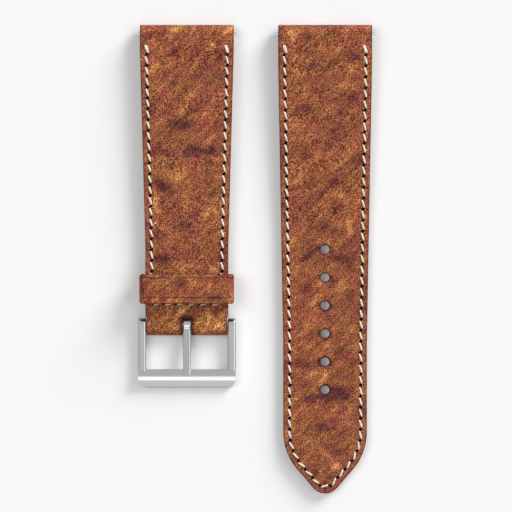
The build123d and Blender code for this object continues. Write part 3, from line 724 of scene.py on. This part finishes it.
faceShort = cutSheet(shortFaceStations(), shortHalf, "faceLeatherShort", faceHide)
faceLong = cutSheet(longFaceStations(), longHalf, "faceLeatherLong", faceHide)
liningShort = cutSheet(liningStations(shortHalf), shortHalf, "liningShort", liningHide)
liningLong = cutSheet(liningStations(longHalf), longHalf, "liningLong", liningHide)
cutAway(faceShort, [slotCutter()])
cutAway(faceLong, holeCutters())
cutAway(liningLong, holeCutters())
clearHoles(faceLong)
clearHoles(liningLong)
paintMarks(faceShort, hideMarksAndFoldLight["short"], painting["strapLow"])
paintMarks(faceLong, hideMarksAndFoldLight["long"], painting["strapLow"])
dress(faceShort, "buckle_half", "face_leather", "face_leather_short")
dress(faceLong, "tail_half", "face_leather", "face_leather_long")
dress(liningShort, "buckle_half", "lining_leather", "lining_short")
dress(liningLong, "tail_half", "lining_leather", "lining_long")
for half in (shortHalf, longHalf):
    padding = finishMesh(strapSheet(paddingStations(half), half), "padding_" + half["name"], pressedFibre)
    dress(padding, half["body"], "padding_felt", "padding_" + half["name"])
    tape = finishMesh(strapSheet(tapeStations(half), half), "lugTape_" + half["name"], wovenTape)
    dress(tape, half["body"], "woven_tape", "lug_tape_" + half["name"])
print("leather made")


# the band's creases are insets from its edges, and its ends are narrower tabs under the face leather
keeper = {
    "start": 63.8, "width": 7.6, "half": 12.1, "foot": 1.15, "top": 7.4, "corner": 1.6, "leather": 1.3,
    "upperCrease": 0.98, "lowerCrease": 1.6, "creaseWidth": 0.12, "creaseDepth": 0.1,
    "creaseShadeWidth": 0.06, "creaseShadeStrength": 1.3, "rim": 0.3, "sideRim": 0.7, "flat": 0.8,
    "tab": 1.1, "tabEnd": 5.6, "tabHigh": 0.4, "tabInside": 0.9, "tabNarrow": 0.86, "tabDip": 0.02,
}
# insets of the lines of points along the band, apart from those at the creases
bandInsets = {"rims": [0, 0.04, 0.14, 0.3, 0.55], "below": 1.1, "above": 1.7, "middle": [2.4, 3.1]}


# outer line of the band, from the left tab over the top to the right tab: (x, z, normal x, normal z, thick)
def keeperPath():
    corner, foot, top, leather = keeper["corner"], keeper["foot"], keeper["top"], keeper["leather"]
    inner = keeper["half"] - corner
    rows = [(x, foot, 0, -1, keeper["tab"]) for x in spaced(-keeper["tabEnd"], -inner, steps["keeper"])]

    def bend(first, last, z):
        for turn in spaced(first, last, steps["keeperBend"])[1:]:
            rows.append((-inner + corner * math.cos(turn), z + corner * math.sin(turn),
                         math.cos(turn), math.sin(turn), leather))

    bend(-math.pi / 2, -math.pi, foot + corner)
    for z in spaced(foot + corner, top - corner, steps["keeper"])[1:]:
        rows.append((-keeper["half"], z, -1, 0, leather))
    bend(math.pi, math.pi / 2, top - corner)
    for x in spaced(-inner, 0, steps["keeper"])[1:]:
        rows.append((x, top, 0, 1, leather))
    return rows + [(-x, z, -across, up, thick) for x, z, across, up, thick in reversed(rows[:-1])]


def makeKeeper():
    path = keeperPath()
    half = keeper["width"] / 2
    lower, upper, crease = keeper["lowerCrease"], keeper["upperCrease"], keeper["creaseWidth"]
    rims, inside = bandInsets["rims"], bandInsets["middle"]
    below = [*rims, bandInsets["below"], lower - crease, lower, lower + crease, *inside]
    above = [*rims, upper - crease, upper, upper + crease, bandInsets["above"], *inside]
    across = [-half + inset for inset in below] + [half - inset for inset in reversed(above)]
    middle = strap["lugEnd"] - keeper["start"] - half

    def place(row, col, depth):
        x, z, normalX, normalZ, thick = path[row]
        y = across[col]
        inset = half - abs(y)
        dip = rimDip(inset, keeper["rim"] if normalZ > keeper["flat"] else keeper["sideRim"])
        dip += keeper["creaseDepth"] * max(0, 1 - abs(inset - (upper if y > 0 else lower)) / crease)
        if z < keeper["foot"] + keeper["tabHigh"] and abs(x) < keeper["half"] - keeper["tabInside"]:
            y *= keeper["tabNarrow"]
            dip = keeper["tabDip"]
        sink = thick if depth else dip
        return Vector((shortHalf["centre"] + x - normalX * sink, middle + y, z - normalZ * sink))

    mesh = shapedSheet(len(path) - 1, len(across) - 1, place, 1)
    piece = finishMesh(mesh, "keeperBand", faceHide, burnishedEdge)
    paintMarks(piece, hideMarksAndFoldLight["short"], painting["keeperLow"])
    # painted shade: the pressed creases along both edges are darkened for the shade in their grooves,
    # together with the crease's burnished darkening
    for vert, item in zip(piece.data.vertices, piece.data.attributes["hideToneAndPaintedLight"].data):
        y = vert.co.y / mm - middle
        if abs(half - abs(y) - (upper if y > 0 else lower)) < keeper["creaseShadeWidth"]:
            item.value -= keeper["creaseShadeStrength"]
    dress(piece, "buckle_half", "face_leather", "keeper_band")


makeKeeper()
print("keeper made")


# a stitch is a length of two-ply thread. It narrows and dives towards its ends, where the needle slits are
stitch = {
    "half": 0.25, "height": 0.2, "lift": 0.12, "dive": 0.4, "rings": 8, "sides": 6, "twist": 260.0,
    "plies": 0.13, "narrowing": 0.45, "narrowPower": 3, "divePower": 6, "sunk": 0.02, "sharp": 80,
    "backStep": 0.3, "backLift": 0.03, "under": 0.33,
    "slitLong": 0.7, "slitWide": 0.4, "slitDeep": 0.12, "slitSunk": 0.09, "slitSides": 10, "slitRings": 4,
    "slitSharp": 60,
}


# needle places at an even pitch along a line of points, as (place, heading)
def seamLine(points, pitch):
    lengths = [0.0]
    for first, second in zip(points, points[1:]):
        lengths.append(lengths[-1] + (second - first).length)
    count = round(lengths[-1] / pitch)
    places, leg = [], 0
    for i in range(count + 1):
        target = lengths[-1] * i / count
        while leg < len(points) - 2 and lengths[leg + 1] < target:
            leg += 1
        share = (target - lengths[leg]) / (lengths[leg + 1] - lengths[leg])
        heading = (points[leg + 1] - points[leg]).normalized()
        places.append((points[leg].lerp(points[leg + 1], share), heading))
    return places


# where each stitch starts and ends, slanted across its seam
def stitchPlaces(seams):
    starts, ends = [], []
    for points, pitch in seams:
        line = seamLine(points, pitch)
        for (site, way), (after, wayAfter) in zip(line, line[1:]):
            side, sideAfter = Vector((-way.y, way.x)), Vector((-wayAfter.y, wayAfter.x))
            starts.append(site + way * strap["stitchGap"] / 2 - side * strap["stitchSlant"])
            ends.append(after - wayAfter * strap["stitchGap"] / 2 + sideAfter * strap["stitchSlant"])
    return starts, ends


# each seam of a half with its pitch, from the right side of the lug end round to its left side
def seamsOf(half):
    inset, start, end = strap["seamInset"], strap["seamStart"], strap["lugEnd"]
    if half is longHalf:
        right = [(halfWidth(half, s) - inset, s) for s in (start, half["taperStart"], half["taperEnd"])]
        right += [(row[0] - inset * row[2], row[1] - inset * row[3]) for row in tipTable]
        right = [Vector((x, end - s)) for x, s in right]
        return [(right + [Vector((-p.x, p.y)) for p in reversed(right[:-1])], strap["stitchPitch"])]
    stops = (start, half["taperStart"], half["taperEnd"], half["crossSeam"])
    right = [Vector((halfWidth(half, s) - inset, end - s)) for s in stops]
    left = [Vector((-p.x, p.y)) for p in reversed(right)]
    return [(right, strap["stitchPitch"]), ([right[-1], left[0]], strap["crossPitch"]),
            (left, strap["stitchPitch"])]


# one visible length of thread between two needle places. upward is -1 on the underside
def addStitch(mesh, start, end, centreX, heightOf, upward):
    made = bmesh.ops.create_grid(mesh, x_segments=stitch["sides"], y_segments=stitch["rings"] - 1, size=1)
    way = end - start
    length = way.length
    way = way.normalized()
    side = Vector((-way.y, way.x))
    for vert in made["verts"]:
        ring = 0.5 + 0.5 * math.sin(vert.co.y * math.pi / 2)
        turn = (vert.co.x + 1) * math.pi
        offMiddle = abs(2 * ring - 1)
        bulge = 1 - offMiddle ** stitch["divePower"]
        taper = 1 - stitch["narrowing"] * offMiddle ** stitch["narrowPower"]
        twist = math.radians(stitch["twist"]) * length * ring
        ply = 1 + stitch["plies"] * math.cos(2 * (turn - twist))
        spine = start + way * (length * ring)
        point = spine + side * (math.cos(turn) * stitch["half"] * ply * taper)
        lift = stitch["lift"] * bulge - stitch["dive"] * (1 - bulge)
        lift += math.sin(turn) * stitch["height"] * ply
        z = heightOf(strap["lugEnd"] - spine.y) + upward * lift
        vert.co = Vector((centreX + point.x, point.y, z))


# painted shade: a dark sunk blob stands in for the shade in the mouth of a needle slit between two stitches
def addSlitShade(mesh, first, second, centreX, heightOf):
    middle = (first + second) / 2
    way = (second - first).normalized()
    sides, rings = stitch["slitSides"], stitch["slitRings"]
    made = bmesh.ops.create_uvsphere(mesh, u_segments=sides, v_segments=rings, radius=1)
    turn = Matrix.Rotation(math.atan2(way.y, way.x), 4, "Z")
    size = (stitch["slitLong"], stitch["slitWide"], stitch["slitDeep"])
    bmesh.ops.scale(mesh, vec=size, verts=made["verts"])
    bmesh.ops.transform(mesh, matrix=turn, verts=made["verts"])
    z = heightOf(strap["lugEnd"] - middle.y) - stitch["slitSunk"]
    bmesh.ops.translate(mesh, vec=(centreX + middle.x, middle.y, z), verts=made["verts"])


def sewHalf(half):
    centre = half["centre"]
    starts, ends = stitchPlaces(seamsOf(half))
    thread, slits = bmesh.new(), bmesh.new()
    last = len(starts) - 1
    for i, (start, end) in enumerate(zip(starts, ends)):
        addStitch(thread, start, end, centre, lambda s: topHeight(half, s) - stitch["sunk"], 1)
        if i in (0, last):  # the seam starts and ends on a back stitch, a second strand beside the first
            beside = Vector((-stitch["backStep"] if start.x > 0 else stitch["backStep"], 0))
            addStitch(thread, start + beside, end + beside, centre,
                      lambda s: topHeight(half, s) + stitch["backLift"], 1)
        if i + 2 <= last:
            addStitch(thread, end, starts[i + 2], centre, lambda s: stitch["under"], -1)
        if i < last:
            addSlitShade(slits, end, starts[i + 1], centre, lambda s: topHeight(half, s))
    piece = finishMesh(thread, "seamThread_" + half["name"], waxedThread, sharp=stitch["sharp"])
    dress(piece, half["body"], "thread", "seam_thread_" + half["name"])
    # the slits' dark blobs are painted shade
    marks = finishMesh(slits, "slitShades_" + half["name"], slitShadow, sharp=stitch["slitSharp"])
    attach(marks, half["body"])


sewHalf(shortHalf)
sewHalf(longHalf)
print("stitching made")

# metal parts keep their CAD shapes
for name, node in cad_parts.items():
    if name in ("buckle_frame", "buckle_tongue"):
        finish = satinSteel
    elif "_bar_" in name:
        finish = turnedSteel
    else:
        continue
    for slot in node.material_slots:
        slot.material = finish
print("steel dressed")


studio = {
    "middle": (0.0, 0.0008), "cameraHeight": 1.2, "viewWidth": 0.1314, "sensor": 36, "near": 0.05, "far": 20,
    "floor": 0.8, "floorRough": 0.9, "floorSeen": 0.10, "floorSize": 3, "floorDrop": 0.03 * mm,
    "sky": 0.07, "seen": 0.94,
    # lamps: (name, strength, width of its disc, angle round from +X that it shines from, its height above
    # the floor as an angle, whether the steel mirrors it)
    "lamps": [("keyLamp", 3.05, 30, 46, 23.5, True), ("fillLamp", 1.1, 37, 162, 61, False),
              ("backLamp", 0.4, 50, 70, 35, False), ("rimLamp", 0.54, 32, 0, 52, True),
              ("frontLamp", 0.24, 26, 270, 63, True), ("lowLamp", 0.23, 60, 270, 22, True)],
}


# a matt pale floor, made a little brighter for the camera alone
def makeFloor():
    mesh = bmesh.new()
    bmesh.ops.create_grid(mesh, x_segments=1, y_segments=1, size=studio["floorSize"])
    bmesh.ops.translate(mesh, vec=(0, 0, -studio["floorDrop"]), verts=mesh.verts[:])
    data = bpy.data.meshes.new("floor")
    mesh.to_mesh(data)
    mesh.free()
    floor = bpy.data.objects.new("floor", data)
    bpy.context.scene.collection.objects.link(floor)
    material, nodes, links, shader = newMaterial("paleFloor")
    shader.inputs["Base Color"].default_value = (studio["floor"], studio["floor"], studio["floor"], 1)
    shader.inputs["Roughness"].default_value = studio["floorRough"]
    shader.inputs["Specular IOR Level"].default_value = 0.0
    path = nodes.new("ShaderNodeLightPath")
    shader.inputs["Emission Color"].default_value = (1, 1, 1, 1)
    brighter = mathNode(nodes, links, "MULTIPLY", path.outputs["Is Camera Ray"], studio["floorSeen"])
    links.new(brighter, shader.inputs["Emission Strength"])
    data.materials.append(material)


# the lamps, and a room that gives little light but looks pale to the camera and in the steel
def makeLights():
    for name, strength, width, compass, height, mirrored in studio["lamps"]:
        lamp = bpy.data.lights.new(name, "SUN")
        lamp.energy = strength
        lamp.angle = math.radians(width)
        turn, rise = math.radians(compass), math.radians(height)
        towards = Vector((math.cos(turn) * math.cos(rise), math.sin(turn) * math.cos(rise), math.sin(rise)))
        softbox = bpy.data.objects.new(name, lamp)
        softbox.location = towards
        softbox.visible_glossy = mirrored
        softbox.rotation_euler = towards.to_track_quat("Z", "Y").to_euler()
        bpy.context.scene.collection.objects.link(softbox)
    world = bpy.data.worlds.new("studioRoom")
    world.use_nodes = True
    bpy.context.scene.world = world
    nodes, links = world.node_tree.nodes, world.node_tree.links
    nodes.clear()
    output = nodes.new("ShaderNodeOutputWorld")
    room = nodes.new("ShaderNodeBackground")
    seen = nodes.new("ShaderNodeBackground")
    seen.inputs["Color"].default_value = (studio["seen"], studio["seen"], studio["seen"], 1)
    mix = nodes.new("ShaderNodeMixShader")
    path = nodes.new("ShaderNodeLightPath")
    room.inputs["Strength"].default_value = studio["sky"]
    shown = mathNode(nodes, links, "MAXIMUM", path.outputs["Is Camera Ray"], path.outputs["Is Glossy Ray"])
    links.new(shown, mix.inputs["Fac"])
    links.new(room.outputs[0], mix.inputs[1])
    links.new(seen.outputs[0], mix.inputs[2])
    links.new(mix.outputs[0], output.inputs["Surface"])


def makeCamera():
    data = bpy.data.cameras.new("camera")
    data.sensor_width = studio["sensor"]
    data.lens = studio["sensor"] * studio["cameraHeight"] / studio["viewWidth"]
    data.clip_start, data.clip_end = studio["near"], studio["far"]
    camera = bpy.data.objects.new("camera", data)
    camera.location = (*studio["middle"], studio["cameraHeight"])
    bpy.context.scene.collection.objects.link(camera)
    bpy.context.scene.camera = camera


makeFloor()
makeLights()
makeCamera()
bpy.context.scene.view_settings.view_transform = "Standard"
print("studio made")
